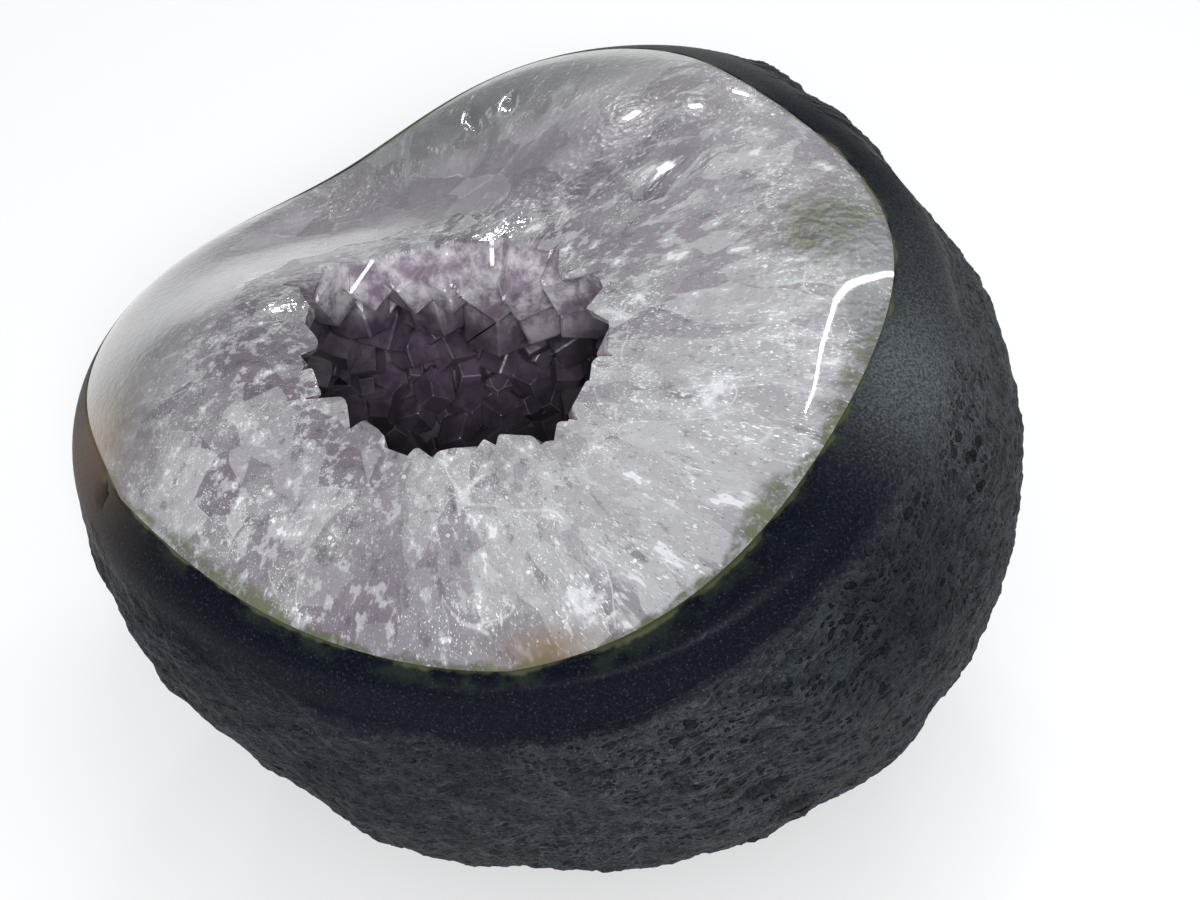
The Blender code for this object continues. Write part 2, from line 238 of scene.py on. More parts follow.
# Colours of the quartz
LILAC = (0.185, 0.155, 0.185)
DEEP_LILAC = (0.115, 0.085, 0.12)
PALE_GREY = (0.27, 0.275, 0.285)
MILK = (0.46, 0.465, 0.485)
SHADE = (0.06, 0.055, 0.066)
WHITE = (0.74, 0.74, 0.78)
GLINT = (0.95, 0.95, 0.98)
DIM_CRYSTAL = (0.08, 0.058, 0.088)
PALE_CRYSTAL = (0.42, 0.38, 0.43)
CLEAR_GREEN = (0.1, 0.125, 0.12)
DARK_MOSS = (0.01, 0.018, 0.006)
PALE_MOSS = (0.09, 0.105, 0.035)
TEAL = (0.1, 0.125, 0.125)
ORANGE_STAIN = (0.2, 0.12, 0.045)
# The hollow's wall: its own violet, darkened as painted shade deeper down
WALL_SHADE_VIOLET = (0.07, 0.05, 0.08)

# Colours of the amethyst
AMETHYST = (0.44, 0.35, 0.45)
PALE_AMETHYST = (0.82, 0.77, 0.83)
# Painted shade: the points darken towards this colour deeper in the hollow
HOLLOW_SHADE_AMETHYST = (0.1, 0.065, 0.11)
# Painted highlight along the crystals' edges
EDGE_HIGHLIGHT = (0.9, 0.87, 0.92)
WISP = (0.9, 0.88, 0.93)
DYE = (0.6, 0.42, 0.66)
DYE_DENSITY = 22.0

QUARTZ_IOR = 1.544

# The long thin light whose image curves along the face's rounded right edge: places from the stone's
# middle in metres, and the light's width in mm from there on
STRIP_PATH = [
    (0.441, 0.496, 0.52, 8),
    (0.296, 0.464, 0.633, 8),
    (0.185, 0.435, 0.688, 8),
    (0.118, 0.405, 0.716, 8),
    (0.009, 0.317, 0.762, 8),
    (-0.054, 0.245, 0.783, 6),
    (-0.109, 0.205, 0.784, 4),
]
STRIP_GLOW = 60

# Small lights behind the stone that put glints on the far rim: direction and power
GLINT_LIGHTS = [
    ((-0.35, 0.93, 0.42), 0.35),
    ((-0.1, 0.95, 0.55), 0.3),
    ((0.15, 0.96, 0.3), 0.25),
]

# The plain light from all round, and the white floor
SKY_COLOUR = (0.95, 0.97, 1.0)
SKY_STRENGTH = 0.44
FLOOR_WHITE = (0.96, 0.96, 0.96)

# How finely the skins are divided
TURNS = 540
RIND_RINGS = 158
INNER_RINGS = 8
FACE_RINGS = 84
HOLLOW_TURNS = 180
HOLLOW_RINGS = 90


def toward(azimuth, elevation):
    """Unit vector at an azimuth from +X and an elevation, both in degrees."""
    around, up = math.radians(azimuth), math.radians(elevation)
    return np.array([math.cos(around) * math.cos(up), math.sin(around) * math.cos(up), math.sin(up)])


def unit(vectors):
    return vectors / np.linalg.norm(vectors, axis=-1, keepdims=True)


def bump_at(directions, azimuth, elevation, spread):
    """1 in one direction, falling off over a spread in degrees."""
    cosine = np.clip(directions @ toward(azimuth, elevation), -1, 1)
    return np.exp(-((np.degrees(np.arccos(cosine)) / spread) ** 2))


def swells(directions, table):
    total = np.zeros(len(directions))
    for azimuth, elevation, spread, height in table:
        total += height * MM * bump_at(directions, azimuth, elevation, spread)
    return total


def ellipsoid(directions, radii, power=2.0):
    return (np.abs(directions / radii) ** power).sum(1) ** (-1 / power)


def rounded_least(first, second, rounding):
    """The smaller of two radii, with a rounded change from one to the other."""
    share = np.clip(0.5 + 0.5 * (second - first) / rounding, 0, 1)
    return second + (first - second) * share - rounding * share * (1 - share)


def face_axes():
    """Across, up and normal of the polished face's mean plane."""
    normal = unit(np.array([-math.tan(FACE_LEAN_LEFT), -math.tan(FACE_LEAN_FRONT), 1.0]))
    across = unit(np.array([normal[2], 0.0, -normal[0]]))
    return across, np.cross(normal, across), normal


def face_rise(across, up):
    """How far the polished face stands over its mean plane at a place on it."""
    rise = -(across**2 + up**2) / (2 * FACE_DOME_RADIUS)
    for place_across, place_up, spread, height in FACE_WAVES:
        square = (across - place_across * MM) ** 2 + (up - place_up * MM) ** 2
        rise = rise + height * MM * np.exp(-square / (spread * MM) ** 2)
    return rise


def face_radius(directions):
    """Where rays from the middle meet the polished face, found by repeated closer guesses."""
    across, up, normal = face_axes()
    along = directions @ normal
    steep = np.maximum(along, 0.05)
    radius = FACE_HEIGHT / steep
    for _ in range(12):
        rise = face_rise(radius * (directions @ across), radius * (directions @ up))
        radius = 0.5 * radius + 0.5 * np.clip((FACE_HEIGHT + rise) / steep, MM, 0.4)
    return np.where(along > 0.05, radius, 0.4)


def rough_radius(directions):
    return ellipsoid(directions, STONE_RADII) + swells(directions, STONE_SWELLS)


def smooth_stone_radius(directions):
    """The ground stone without its small lumps."""
    return rounded_least(rough_radius(directions), face_radius(directions), FACE_EDGE_ROUNDING)


def nodule_radius(directions):
    """The contact between quartz and basalt, inside the rind and clear of the base."""
    thickness = np.maximum(RIND - swells(directions, RIND_THINNINGS), THINNEST_RIND)
    to_floor = (MIDDLE.z - ROCK_OVER_BASE) / np.maximum(-directions[:, 2], 0.05)
    return rounded_least(rough_radius(directions) - thickness, to_floor, 10 * MM)


def natural_cover(directions):
    """How thick the basalt would be just above each direction: negative over the ground band."""
    raised = unit(directions + math.tan(GROUND_BAND) * face_axes()[2])
    return smooth_stone_radius(raised) - nodule_radius(raised)


def roughness_at(directions):
    """1 on the natural outside, 0 on the ground band and the polished face."""
    return np.clip(natural_cover(directions) / (2 * MM), 0, 1)


def above_contact(directions):
    return nodule_radius(directions) > smooth_stone_radius(directions)


def hollow_middle():
    across, up, normal = face_axes()
    return across * HOLLOW_PLACE[0] + up * HOLLOW_PLACE[1] + normal * (FACE_HEIGHT - HOLLOW_DEPTH)


def hollow_radius(directions):
    """The hollow's wall in the quartz, seen from the hollow's own middle."""
    local = np.stack([directions @ axis for axis in face_axes()], 1)
    return ellipsoid(local, HOLLOW_RADII, 2.2) + swells(local, HOLLOW_SWELLS)


def face_directions(turns, leans):
    """Directions at a turn about the polished face's normal and a lean away from it."""
    across, up, normal = face_axes()
    level = np.outer(np.cos(turns), across) + np.outer(np.sin(turns), up)
    return level * np.sin(leans)[:, None] + normal * np.cos(leans)[:, None]


def edge_leans(turns, above):
    """The lean at which a form meets the polished face, found by halving."""
    low = np.full(len(turns), math.radians(8))
    high = np.full(len(turns), math.radians(125))
    for _ in range(24):
        middle = (low + high) / 2
        still_above = above(face_directions(turns, middle))
        low = np.where(still_above, middle, low)
        high = np.where(still_above, high, middle)
    return low


def noise_at(rows, scale, octaves=1):
    """Fractal noise, about -1 to 1, at each row's place times a scale."""
    values = [noise.fractal(Vector(row) * scale, 1.0, 2.0, octaves) for row in rows]
    return np.array(values)


EDGE_TURNS = np.linspace(0, 2 * math.pi, TURNS, endpoint=False)
EDGE_LEANS = edge_leans(EDGE_TURNS, above_contact)


def contact_distance(directions, radii):
    """Metres along the skin from the contact line: above 0 on the quartz, below 0 on the basalt."""
    across, up, normal = face_axes()
    turns = np.mod(np.arctan2(directions @ up, directions @ across), 2 * math.pi)
    leans = np.arccos(np.clip(directions @ normal, -1, 1))
    edge = np.interp(turns, EDGE_TURNS, EDGE_LEANS, period=2 * math.pi)
    return (edge - leans) * radii


def below_face(places):
    """Metres under the polished face's mean plane, for places measured from the stone's middle."""
    return FACE_HEIGHT - places @ face_axes()[2]


def pit_depths(places, pits):
    """How deep each place lies in the ovals of a table of pits."""
    depths = np.zeros(len(places))
    for azimuth, elevation, length, width, depth, turn in pits:
        outward = toward(azimuth, elevation)
        level = unit(np.array([-outward[1], outward[0], 0.0]))
        steep = np.cross(outward, level)
        centre = outward * smooth_stone_radius(outward[None, :])[0]
        offset = places - centre
        cosine, sine = math.cos(math.radians(turn)), math.sin(math.radians(turn))
        along = offset @ level * cosine + offset @ steep * sine
        aside = offset @ steep * cosine - offset @ level * sine
        square = (along / (length * MM / 2)) ** 2 + (aside / (width * MM / 2)) ** 2
        near = (square < 1) & (np.abs(offset @ outward) < 6 * MM)
        depths[near] = np.maximum(depths[near], depth * MM * (1 - square[near]) ** 0.6)
    return depths


def small_pit_rows(seed=11):
    """The model's random pits on the natural outside."""
    chance = random.Random(seed)
    rows = []
    taken = [toward(row[0], row[1]) for row in LARGE_PITS]
    while len(rows) < SMALL_PITS:
        azimuth, elevation = chance.uniform(180, 400), chance.uniform(-32, 30)
        direction = toward(azimuth, elevation)
        length = chance.uniform(*SMALL_PIT_LENGTHS) / MM
        near = min(float(np.linalg.norm(direction - other)) for other in taken)
        if near < 0.14 or roughness_at(direction[None, :])[0] < 1:
            continue
        taken.append(direction)
        rows.append((azimuth, elevation, length, 0.6 * length, 0.35 * length, chance.uniform(5, 35)))
    return rows


def fine_pit_rows(seed=23):
    """Many small random pits all round the natural outside."""
    chance = random.Random(seed)
    rows = []
    while len(rows) < FINE_PITS:
        azimuth = chance.uniform(0, 360)
        elevation = math.degrees(math.asin(chance.uniform(-0.72, 0.62)))
        if roughness_at(toward(azimuth, elevation)[None, :])[0] < 0.8:
            continue
        length = chance.uniform(*FINE_PIT_LENGTHS) / MM
        width = length * chance.uniform(0.45, 0.8)
        depth = chance.uniform(0.25, 0.45) * width
        rows.append((azimuth, elevation, length, width, depth, chance.gauss(18, 15)))
    return rows


def lofted(name, rings, first, last):
    """A closed skin over rings of points, from a first point to a last one."""
    count = len(rings[0])
    places = np.concatenate([[first], *rings, [last]])
    here = np.arange(count)
    ahead = np.roll(here, -1)
    faces = np.stack([np.zeros(count, int), 1 + here, 1 + ahead], 1).tolist()
    for ring in range(len(rings) - 1):
        upper = 1 + ring * count
        lower = upper + count
        faces += np.stack([upper + ahead, upper + here, lower + here, lower + ahead], 1).tolist()
    upper = 1 + (len(rings) - 1) * count
    faces += np.stack([upper + ahead, upper + here, np.full(count, len(places) - 1)], 1).tolist()
    mesh = bpy.data.meshes.new(name)
    mesh.from_pydata((places + np.array(MIDDLE)).tolist(), [], faces)
    skin = bmesh.new()
    skin.from_mesh(mesh)
    bmesh.ops.recalc_face_normals(skin, faces=skin.faces)
    skin.to_mesh(mesh)
    skin.free()
    item = bpy.data.objects.new(name, mesh)
    bpy.context.scene.collection.objects.link(item)
    return item


def rings_at(turns, leans, radius_of, centre=(0, 0, 0)):
    """Rings of points on a radial form, for rows of leans with one lean for each turn."""
    directions = face_directions(np.tile(turns, len(leans)), np.concatenate(leans))
    places = np.array(centre) + directions * radius_of(directions)[:, None]
    return list(places.reshape(len(leans), len(turns), 3))


def floored_radius(directions, radii):
    """Radii cut short where their rays would pass through the ground base."""
    return np.minimum(radii, MIDDLE.z / np.maximum(-directions[:, 2], 0.01))


def rough_outside(directions, pits):
    """The natural outside: the model's lumps, finer grain and pits, fading out towards the ground band."""
    rough = roughness_at(directions)
    radii = smooth_stone_radius(directions)
    relief = LUMP_HEIGHT * np.array([noise.noise(Vector(row) * LUMPS_ACROSS_STONE) for row in directions])
    relief += 0.55 * MM * noise_at(directions, 16, 2)
    relief += 0.38 * MM * noise_at(directions, 42, 2)
    relief = relief * rough
    return floored_radius(directions, radii + relief - pit_depths(directions * radii[:, None], pits))


def wall_rings(radius_of):
    """Rings down the contact's wall, from just under the contact line to just above its lowest point."""
    parts = np.linspace(0, 1, INNER_RINGS + 2)[1:-1]
    leans = [EDGE_LEANS + (math.pi - EDGE_LEANS) * part for part in parts]
    return rings_at(EDGE_TURNS, leans, radius_of)


def add_rind_surface():
    """The basalt as a closed bowl: outside from base to contact, then the contact's wall down inside."""
    pits = LARGE_PITS + small_pit_rows() + fine_pit_rows()
    outer_leans = []
    for part in np.linspace(0, 1, RIND_RINGS + 1)[:-1]:
        outer_leans.append(EDGE_LEANS + (math.pi - EDGE_LEANS) * (0.8 * part + 0.2 * part**2))
    outer = rings_at(EDGE_TURNS, outer_leans, lambda rows: rough_outside(rows, pits))
    down = -face_axes()[2][None, :]
    outer_end = (down * floored_radius(down, smooth_stone_radius(down))[:, None])[0]
    inner_end = (down * nodule_radius(down)[:, None])[0]
    return lofted("rind_surface", outer[::-1] + wall_rings(nodule_radius), outer_end, inner_end)


def add_quartz_plug(name, sink=0.0):
    """The quartz as a closed body with no hollow: polished face above, contact wall below."""
    def top_radius(directions):
        radii = smooth_stone_radius(directions)
        return radii - sink - pit_depths(directions * radii[:, None], FACE_PITS)

    def wall_radius(directions):
        return nodule_radius(directions) - CONTACT_GAP

    leans = [EDGE_LEANS * part for part in np.linspace(0, 1, FACE_RINGS + 1)[1:]]
    rings = rings_at(EDGE_TURNS, leans, top_radius) + wall_rings(wall_radius)
    up = face_axes()[2][None, :]
    top = (up * top_radius(up)[:, None])[0]
    end = (-up * wall_radius(-up)[:, None])[0]
    return lofted(name, rings, top, end)


def add_hollow_ball(name, radius_of):
    turns = np.linspace(0, 2 * math.pi, HOLLOW_TURNS, endpoint=False)
    leans = [np.full(HOLLOW_TURNS, math.pi * part) for part in np.linspace(0, 1, HOLLOW_RINGS + 1)[1:-1]]
    rings = rings_at(turns, leans, radius_of, hollow_middle())
    up = face_axes()[2][None, :]
    top = hollow_middle() + (up * radius_of(up)[:, None])[0]
    end = hollow_middle() + (-up * radius_of(-up)[:, None])[0]
    return lofted(name, rings, top, end)


def jagged_border(directions):
    """The hollow's wall in the milky quartz, raised into small peaks."""
    peaks = []
    places = directions * hollow_radius(directions)[:, None]
    for row in places:
        peaks.append(noise.voronoi(Vector(row) / BORDER_JAG_WIDTH)[0][0])
    return hollow_radius(directions) + BORDER_JAGS * (np.array(peaks) * 1.6 - 0.9)


def crystal_mesh(width, shank, chance):
    """A quartz point along +Z from its root: three broad end faces, and often three narrow ones."""
    apothem = width / 2 * math.cos(math.pi / 6)
    tip = shank + apothem * math.tan(RHOMB_SLOPE)
    crystal = bmesh.new()
    long_prism = 1.6 * tip + CRYSTAL_ROOT
    middle = Matrix.Translation((0, 0, long_prism / 2 - CRYSTAL_ROOT))
    half = width / 2
    bmesh.ops.create_cone(
        crystal, cap_ends=True, segments=6, radius1=half, radius2=half, depth=long_prism, matrix=middle
    )
    flatten = chance.uniform(0.78, 1.0)
    bmesh.ops.scale(crystal, vec=(1, flatten, 1), verts=crystal.verts)
    narrow = chance.random() < 0.62
    for side in range(0, 6, 1 if narrow else 2):
        azimuth = math.pi / 6 + side * math.pi / 3
        normal = Vector((
            math.cos(azimuth) * math.sin(RHOMB_SLOPE),
            math.sin(azimuth) * math.sin(RHOMB_SLOPE),
            math.cos(RHOMB_SLOPE),
        ))
        deeper = chance.uniform(0.0, 0.16) if side % 2 == 0 else chance.uniform(-0.2, -0.02)
        cut = bmesh.ops.bisect_plane(
            crystal,
            geom=crystal.verts[:] + crystal.edges[:] + crystal.faces[:],
            plane_co=Vector((0, 0, tip - deeper * width)),
            plane_no=normal,
            clear_outer=True,
        )
        rim = [item for item in cut["geom_cut"] if isinstance(item, bmesh.types.BMEdge)]
        if rim:
            bmesh.ops.holes_fill(crystal, edges=rim)
    bmesh.ops.dissolve_degenerate(crystal, dist=0.05 * MM, edges=crystal.edges)
    bevel = CRYSTAL_BEVEL * width
    bmesh.ops.bevel(
        crystal, geom=crystal.edges[:], offset=bevel, offset_type="OFFSET", segments=1, affect="EDGES"
    )
    return crystal


def wall_normal(direction):
    """Inward normal of the hollow's wall in one direction from the hollow's middle."""
    step = 1e-3
    point = direction * hollow_radius(direction[None, :])[0]
    slopes = []
    for axis in np.eye(3):
        moved = point + axis * step
        distance = np.linalg.norm(moved)
        slopes.append(distance - hollow_radius((moved / distance)[None, :])[0])
    return -unit(np.array(slopes))


def large_places():
    """Places and directions of the listed large points, with their widths, shanks and tilts."""
    rows = []
    for turn, lean, width, shank, tilt in LARGE_POINTS:
        direction = face_directions(np.array([math.radians(turn)]), np.array([math.radians(lean)]))
        place = hollow_middle() + direction[0] * (hollow_radius(direction)[0] - LINING)
        rows.append((place, direction[0], width * MM, shank * MM, math.radians(tilt)))
    return rows


def crystal_places(seed=5):
    """Spread places on the hollow's wall below the polished face, large crystals first."""
    chance = random.Random(seed)
    middle = hollow_middle()
    directions = unit(np.array([[chance.gauss(0, 1) for _ in range(3)] for _ in range(CRYSTAL_TRIES)]))
    places = middle + directions * (hollow_radius(directions) - LINING)[:, None]
    inside = np.linalg.norm(places, axis=1) < smooth_stone_radius(unit(places)) + CRYSTALS_OVER_FACE
    chosen = large_places()
    found = np.array([row[0] for row in chosen])
    widths = np.array([row[2] for row in chosen]) * 0.8
    narrowest, widest = CRYSTAL_WIDTHS
    for attempt in range(CRYSTAL_TRIES):
        width = widest + (narrowest - widest) * (attempt / CRYSTAL_TRIES) ** 0.42
        if not inside[attempt] or len(chosen) >= CRYSTALS:
            continue
        apart = np.linalg.norm(found - places[attempt], axis=1) / (widths + width)
        if apart.min() > CRYSTAL_SPACING / 2:
            shank = chance.uniform(*CRYSTAL_SHANKS) * width
            chosen.append((places[attempt], directions[attempt], width, shank, None))
            found = np.vstack([found, places[attempt]])
            widths = np.append(widths, width)
    return chosen


def add_crystals(seed=8):
    """The hollow's points, each a solid of its own in one collection of cutters."""
    chance = random.Random(seed)
    group = bpy.data.collections.new("points")
    bpy.context.scene.collection.children.link(group)
    face_normal = Vector(face_axes()[2])
    for place, direction, width, shank, tilt in crystal_places():
        crystal = crystal_mesh(width, shank, chance)
        leaning = Matrix.Rotation(chance.uniform(0, CRYSTAL_LEAN), 4, "X")
        around = Matrix.Rotation(chance.uniform(0, 2 * math.pi), 4, "Z")
        turned = Matrix.Rotation(chance.uniform(0, math.pi / 3), 4, "Z")
        inward = Vector(wall_normal(direction))
        upright = inward.to_track_quat("Z", "Y").to_matrix().to_4x4()
        pose = upright @ around @ leaning @ turned
        if tilt is not None:
            towards_mouth = Matrix.Rotation(tilt, 4, inward.cross(face_normal))
            pose = towards_mouth @ upright @ turned
        crystal.transform(Matrix.Translation(Vector(place) + MIDDLE) @ pose)
        mesh = bpy.data.meshes.new("point")
        crystal.to_mesh(mesh)
        crystal.free()
        group.objects.link(bpy.data.objects.new("point", mesh))
    return group


def boolean(item, operation, cutter):
    """Cuts an object with another object or with a whole collection, and keeps only the result."""
    modifier = item.modifiers.new("cut", "BOOLEAN")
    modifier.operation = operation
    modifier.solver = "MANIFOLD"
    if isinstance(cutter, bpy.types.Collection):
        modifier.operand_type = "COLLECTION"
        modifier.collection = cutter
    else:
        modifier.object = cutter
    graph = bpy.context.evaluated_depsgraph_get()
    result = bpy.data.meshes.new_from_object(item.evaluated_get(graph), depsgraph=graph)
    item.modifiers.clear()
    result.name = item.name
    item.data = result


def remove(*items):
    for item in items:
        bpy.data.objects.remove(item, do_unlink=True)


def add_quartz_band():
    band = add_quartz_plug("quartz_surface")
    hollow = add_hollow_ball("hollow_cutter", jagged_border)
    boolean(band, "DIFFERENCE", hollow)
    remove(hollow)
    return band


def open_radius(directions):
    """The open space between the crystals' roots, drawn in under the mouth's edge."""
    wall = hollow_radius(directions)
    depth = below_face(hollow_middle() + directions * wall[:, None])
    return wall - LINING - RIM_THICKNESS * np.exp(-((depth / RIM_REACH) ** 2))


def add_crystal_crust():
    """The points and the thin clear lining that they stand on, cut flush with the polished face."""
    space = add_hollow_ball("open_space", open_radius)
    points = add_crystals()
    boolean(space, "DIFFERENCE", points)
    crust = add_hollow_ball("crystal_points", lambda rows: hollow_radius(rows) + CRUST_OVERLAP)
    limit = add_quartz_plug("face_limit", CRUST_UNDER_FACE)
    boolean(crust, "INTERSECT", limit)
    boolean(crust, "DIFFERENCE", space)
    remove(space, limit, *points.objects)
    bpy.data.collections.remove(points)
    return crust


def set_attribute(item, name, values, domain="POINT"):
    attribute = item.data.attributes.new(name, "FLOAT", domain)
    attribute.data.foreach_set("value", np.ascontiguousarray(values, np.float32))


def mark_crystal_edges(item):
    """Marks the narrow faces that break the crystals' edges, and the bare lining between the crystals."""
    from_hollow = places_of(item)[0] - hollow_middle()
    reach = np.linalg.norm(from_hollow, axis=1)
    on_lining = np.abs(reach - open_radius(from_hollow / reach[:, None])) < LINING_TOLERANCE
    narrow, bare = [], []
    for face in item.data.polygons:
        corners = [item.data.vertices[index].co for index in face.vertices]
        longest = max((first - second).length for first, second in zip(corners, corners[1:] + corners[:1]))
        is_bare = all(on_lining[index] for index in face.vertices)
        is_edge = 2 * face.area < longest * EDGE_BREADTH and not is_bare
        bare.append(float(is_bare))
        narrow.append(float(is_edge))
    set_attribute(item, "edge", narrow, "FACE")
    set_attribute(item, "bare", bare, "FACE")


def vertex_places(item):
    flat = np.zeros(len(item.data.vertices) * 3, np.float32)
    item.data.vertices.foreach_get("co", flat)
    return flat.reshape(-1, 3).astype(float)


def places_of(item):
    """Vertex places measured from the stone's middle, their directions and their distances."""
    places = vertex_places(item) - np.array(MIDDLE)
    distances = np.linalg.norm(places, axis=1)
    return places, places / distances[:, None], distances


def mark_rind(item):
    """Masks of the rind: ground band, distance from the contact in mm, pits, stained places, and places of
    painted shade and painted sheen.
    """
    _, directions, distances = places_of(item)
    set_attribute(item, "natural_mm", natural_cover(directions) / MM)
    set_attribute(item, "contact_mm", contact_distance(directions, distances) / MM)
    pits = LARGE_PITS + small_pit_rows() + fine_pit_rows()
    sunk = smooth_stone_radius(directions)[:, None] * directions
    set_attribute(item, "pit_mm", pit_depths(sunk, pits) / MM)
    set_attribute(item, "tan", bump_at(directions, 191, 14, 11))
    set_attribute(item, "shady", bump_at(directions, 312, 14, 16) + 0.8 * bump_at(directions, 215, -5, 26))
    # Painted sheen: where the rind's right side is made lighter as if light glanced off it
    set_attribute(item, "painted_sheen", bump_at(directions, 330, 35, 11) + 0.5 * bump_at(directions, 355, 30, 15))


def mark_quartz(item):
    """Masks of the quartz: distance from the contact and depth in mm, and the coloured places."""
    places, directions, distances = places_of(item)
    set_attribute(item, "contact_mm", contact_distance(directions, distances) / MM)
    set_attribute(item, "depth_mm", (smooth_stone_radius(directions) - distances) / MM)
    across, up, _ = face_axes()
    u, v = places @ across / MM, places @ up / MM

    def patch(place_across, place_up, wide, high):
        return np.exp(-(((u - place_across) / wide) ** 2) - ((v - place_up) / high) ** 2)

    milky = patch(16, -38, 30, 22) + 0.6 * patch(38, -12, 18, 26) + 0.5 * patch(40, 26, 14, 16)
    set_attribute(item, "milky", milky)
    set_attribute(item, "glassy", patch(-10, 58, 34, 12) + 0.8 * patch(-62, 2, 10, 26))
    hook = np.clip(2.4 * (patch(48.5, 0, 7, 6.5) - 1.0 * patch(52.5, -3.5, 5.5, 5.5)), 0, 1)
    set_attribute(item, "hook", hook)
    set_attribute(item, "teal", np.clip(1.4 * patch(53, -4, 5, 5) + 0.8 * patch(50, -15, 4, 6), 0, 0.7))
    set_attribute(item, "sunken", np.clip(
        1.1 * patch(-24, 32, 38, 14) + 0.9 * patch(-58, 2, 12, 24) + 0.5 * patch(12, 28, 14, 12), 0, 0.85
    ))
    front = patch(-42, -40, 24, 12) + patch(33, -44, 7, 6) + patch(47, -26, 6, 8)
    top = patch(20, 62, 24, 9)
    set_attribute(item, "green", np.clip(0.5 * hook + 1.1 * top + 0.6 * front, 0, 1.2))
    stains = 0.9 * patch(-70, -17, 8, 10) + 0.8 * patch(1.5, -60, 6, 2.5) + 0.35 * patch(-71, 6, 6, 18)
    set_attribute(item, "tan", stains)


class Recipe:
    """Builds one material's node tree, from plain numbers and the outputs of other nodes."""

    def __init__(self, name):
        self.material = bpy.data.materials.new(name)
        self.material.use_nodes = True
        self.tree = self.material.node_tree
        self.surface = self.tree.nodes["Principled BSDF"]
        self.output = self.tree.nodes["Material Output"]

    def put(self, socket, value):
        if isinstance(value, bpy.types.NodeSocket):
            self.tree.links.new(value, socket)
        elif isinstance(value, tuple) and len(value) == 3 and socket.type == "RGBA":
            socket.default_value = (*value, 1)
        else:
            socket.default_value = value

    def node(self, kind, settings=None, **inputs):
        made = self.tree.nodes.new(kind)
        for name, value in (settings or {}).items():
            setattr(made, name, value)
        for name, value in inputs.items():
            self.put(made.inputs[name.replace("_", " ")], value)
        return made

    def attribute(self, name):
        return self.node("ShaderNodeAttribute", {"attribute_name": name}).outputs["Fac"]

    def place(self):
        return self.node("ShaderNodeTexCoord").outputs["Object"]

    def math(self, operation, first, second=0.0, limit=False):
        made = self.tree.nodes.new("ShaderNodeMath")
        made.operation = operation
        made.use_clamp = limit
        self.put(made.inputs[0], first)
        self.put(made.inputs[1], second)
        return made.outputs[0]

    def times(self, first, second):
        return self.math("MULTIPLY", first, second)

    def plus(self, first, second, limit=False):
        return self.math("ADD", first, second, limit)

    def minus(self, first, second):
        return self.math("SUBTRACT", first, second)

    def scaled(self, vector, scale):
        return self.vector("SCALE", vector, scale=scale)

    def vector(self, operation, first, second=None, scale=None):
        made = self.tree.nodes.new("ShaderNodeVectorMath")
        made.operation = operation
        self.put(made.inputs[0], first)
        if second is not None:
            self.put(made.inputs[1], second)
        if scale is not None:
            self.put(made.inputs["Scale"], scale)
        return made.outputs["Value" if operation == "LENGTH" else "Vector"]

    def step(self, value, low, high, to_low=0.0, to_high=1.0):
        """A value spread from one range to another, held at its ends."""
        made = self.node("ShaderNodeMapRange", {"interpolation_type": "SMOOTHSTEP"})
        for name, number in (("Value", value), ("From Min", low), ("From Max", high),
                             ("To Min", to_low), ("To Max", to_high)):
            self.put(made.inputs[name], number)
        return made.outputs["Result"]

    def blend(self, share, first, second):
        made = self.node("ShaderNodeMix", {"data_type": "RGBA"})
        self.put(made.inputs["Factor"], share)
        self.put(made.inputs[6], first)
        self.put(made.inputs[7], second)
        return made.outputs[2]

    def noise(self, place, scale, detail=2.0, roughness=0.5, w=None):
        settings = {"noise_dimensions": "3D" if w is None else "4D"}
        made = self.node(
            "ShaderNodeTexNoise", settings, Vector=place, Scale=scale, Detail=detail, Roughness=roughness
        )
        if w is not None:
            self.put(made.inputs["W"], w)
        return made.outputs["Fac"]

    def cells(self, place, scale, feature="F1", dimensions="3D"):
        settings = {"feature": feature, "voronoi_dimensions": dimensions}
        return self.node("ShaderNodeTexVoronoi", settings, Vector=place, Scale=scale)

    def chances(self, cells):
        """Random numbers from 0 to 1 that stay the same over each cell."""
        return self.node("ShaderNodeSeparateColor", Color=cells.outputs["Color"]).outputs

    def bump(self, height, strength, distance):
        made = self.node("ShaderNodeBump", Height=height, Strength=strength, Distance=distance)
        return made.outputs["Normal"]

    def set(self, **inputs):
        for name, value in inputs.items():
            self.put(self.surface.inputs[name.replace("_", " ")], value)


def radial_coordinates(recipe):
    """How a place lies as seen from the hollow: its direction, and its distance, which wavers a little."""
    centre = Vector(hollow_middle()) + MIDDLE
    offset = recipe.vector("SUBTRACT", recipe.place(), tuple(centre))
    wobble = recipe.times(recipe.noise(recipe.place(), 45, 1), 6 * MM)
    return recipe.vector("NORMALIZE", offset), recipe.plus(recipe.vector("LENGTH", offset), wobble)


def radial_noise(recipe, seen, spread, pace, detail):
    """Noise drawn out along the lines that run from the hollow."""
    direction, distance = seen
    ray = recipe.scaled(direction, spread)
    return recipe.noise(ray, 1.0, detail, 0.62, w=recipe.times(distance, pace))


def hairlines(recipe, value, width):
    """1 along the curved lines where a noise passes its middle."""
    return recipe.step(recipe.math("ABSOLUTE", recipe.minus(value, 0.5)), 0.0, width, 1.0, 0.0)


